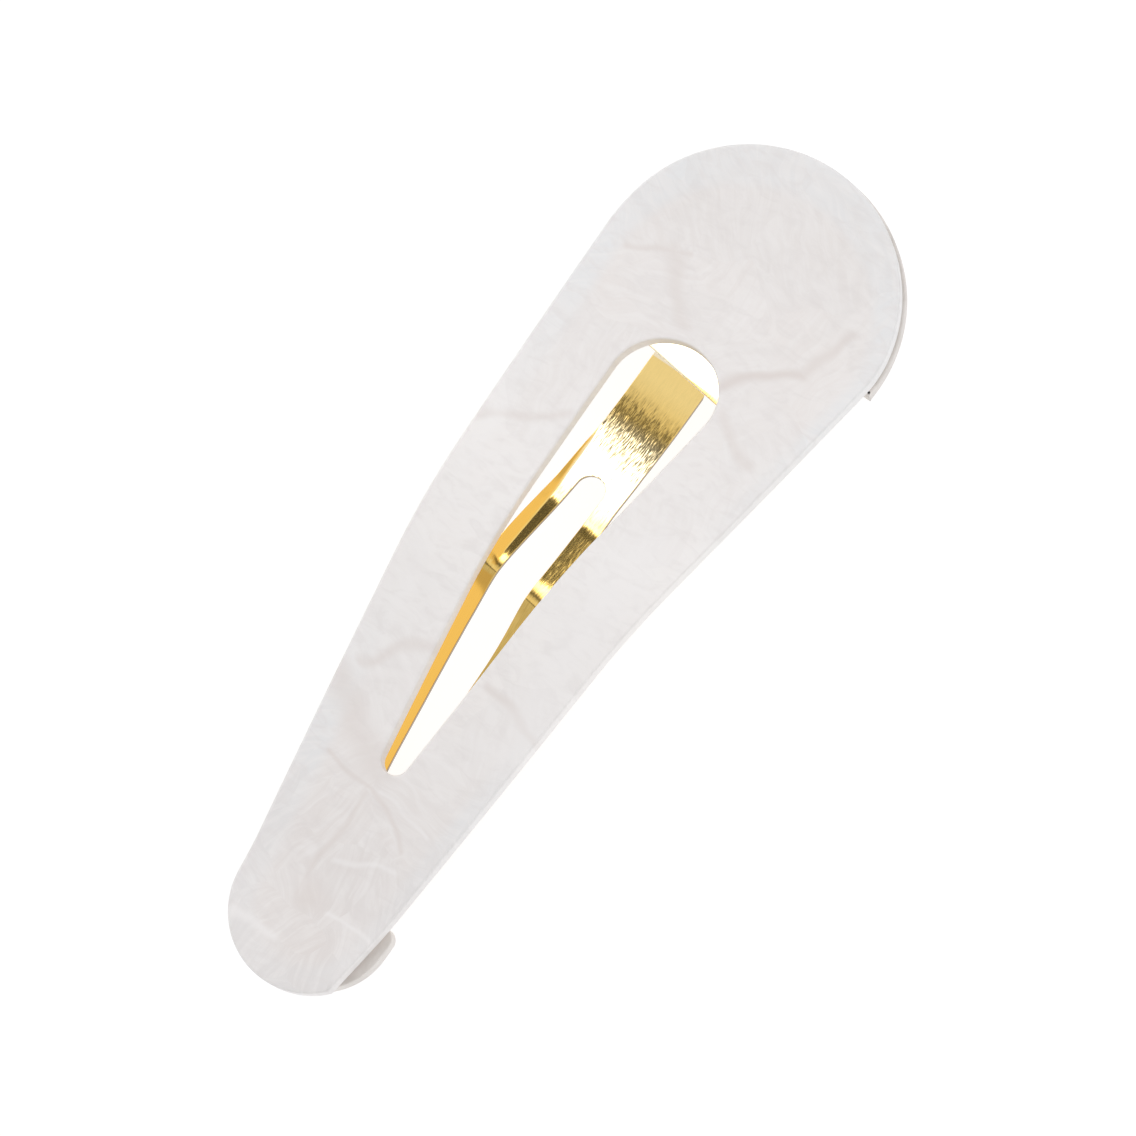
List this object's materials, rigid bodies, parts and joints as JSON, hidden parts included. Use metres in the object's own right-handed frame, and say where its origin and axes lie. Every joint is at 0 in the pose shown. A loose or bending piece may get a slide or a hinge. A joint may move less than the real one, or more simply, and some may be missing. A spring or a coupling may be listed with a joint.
{
  "type": "snap hair clip",
  "caption": "Bowed teardrop hair clip of white pearl acetate with a window, a gold sheet-metal frame and a sprung forked tongue that swings open.",
  "frame": {"origin": "middle of the clip's length and width, at the level of the pads' feet", "axes": "+X along the clip towards its wide end, +Z away from the hair, +Y across it"},
  "size_m": [0.081, 0.0258, 0.011],
  "materials": {
    "pearl": "polished pearl acetate",
    "pad": "polished pearl acetate",
    "gold": "brushed gold"
  },
  "bodies": {
    "clip": {"plate": "pearl", "wide_pad": "pad", "narrow_pad": "pad", "frame": "gold", "rivet": "gold"},
    "tongue": {"tongue": "gold"}
  },
  "joints": [
    {"name": "tongue_open", "type": "hinge", "parent": "clip", "child": "tongue", "pos_m": [0.0191, 0.0004, 0.00465], "axis": [-0.1289, -0.9911, 0.0326], "range_deg": [0, 30]}
  ]
}
